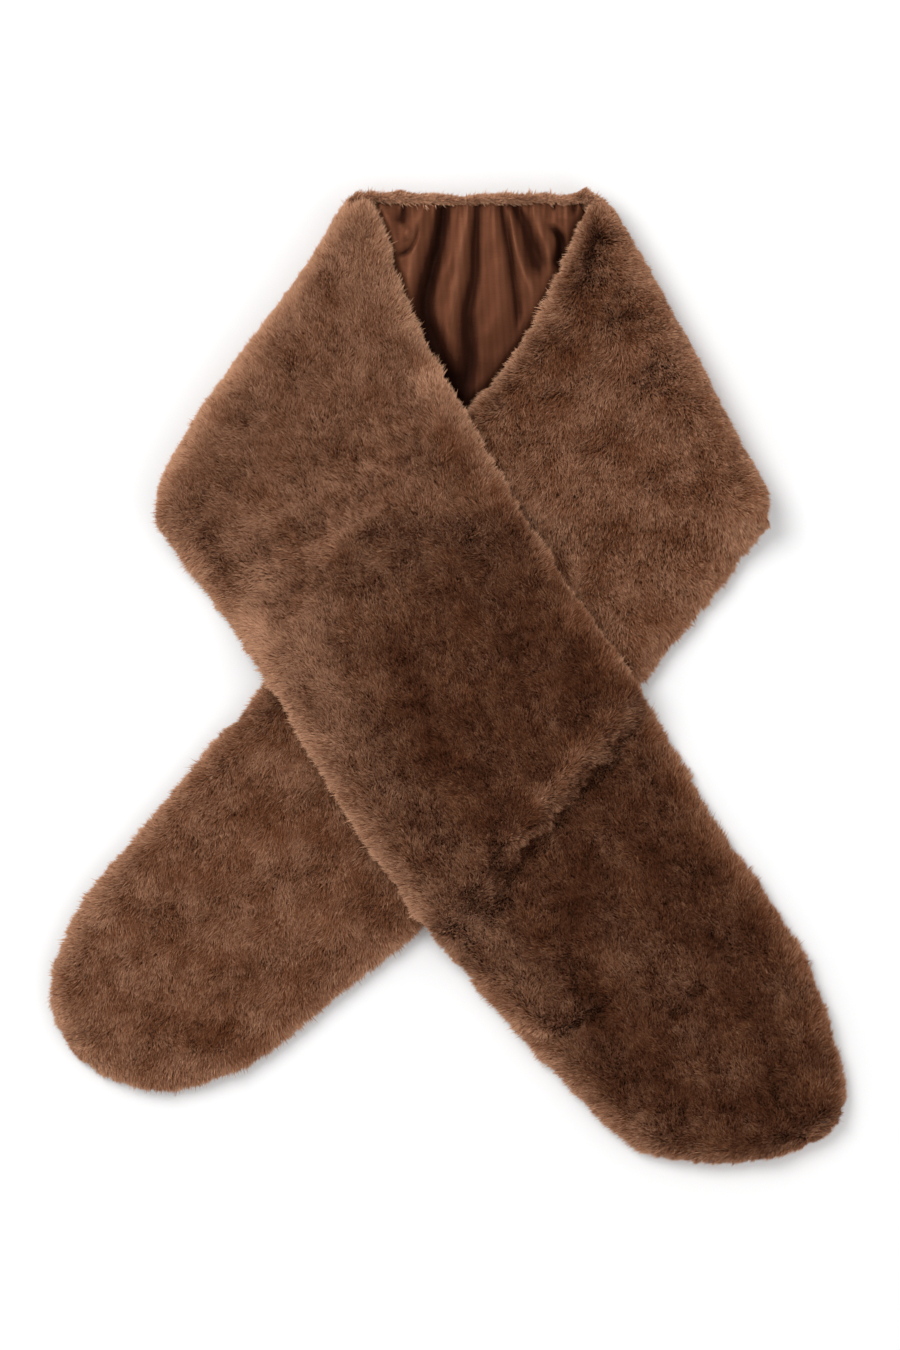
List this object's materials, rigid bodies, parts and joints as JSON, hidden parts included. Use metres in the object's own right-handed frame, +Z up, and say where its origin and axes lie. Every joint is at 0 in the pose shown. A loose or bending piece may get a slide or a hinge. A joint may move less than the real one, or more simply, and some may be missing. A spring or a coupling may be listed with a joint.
{
  "type": "fur collar wrap",
  "caption": "Long plush fur collar wrap laid flat, folded over at both shoulders, with crossed rounded ends and a gathered satin lining at the neck.",
  "frame": {"origin": "on the surface that the wrap lies on, under the centre of the back of the neck", "axes": "+Z up from the surface, +Y towards the neck edge with the two ends towards -Y, +X towards the side where the upper band's tip lies"},
  "size_m": [0.3973, 0.4878, 0.0444],
  "materials": {
    "plush": "soft long-pile plush, matte",
    "satin": "brown satin lining with a soft sheen"
  },
  "bodies": {
    "root": {"back_neck_fur": "plush", "neck_lining": "satin", "over_band_fur": "plush", "under_shoulder_fur": "plush", "under_tail_fur": "plush"}
  },
  "joints": []
}
